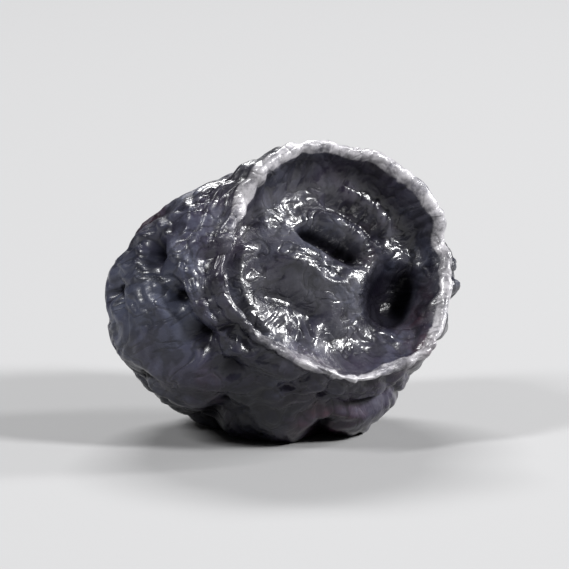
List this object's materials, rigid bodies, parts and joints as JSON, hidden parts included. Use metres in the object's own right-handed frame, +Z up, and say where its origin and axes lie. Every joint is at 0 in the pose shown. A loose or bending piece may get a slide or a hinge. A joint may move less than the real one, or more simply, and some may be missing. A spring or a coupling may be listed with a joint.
{
  "type": "dried blueberry",
  "caption": "One dried blueberry lying on its side: wrinkled, creased round body with an open, worn calyx ring round a folded bowl at one end and a stem scar at the other.",
  "frame": {"origin": "centre of the bounding box in X and Y, on the small flat spot that the berry rests on", "axes": "+X is the longest extent, +Z is up out of the resting spot; the calyx faces -Y, turned 32 degrees towards +X and raised 18 degrees"},
  "size_m": [0.0104, 0.0098, 0.0089],
  "materials": {
    "dried_skin": "wrinkled dried fruit skin, blue-black with a dull red-purple cast in places, satin to glossy with a thin grey bloom"
  },
  "bodies": {
    "root": {"dried_blueberry": "dried_skin"}
  },
  "joints": []
}
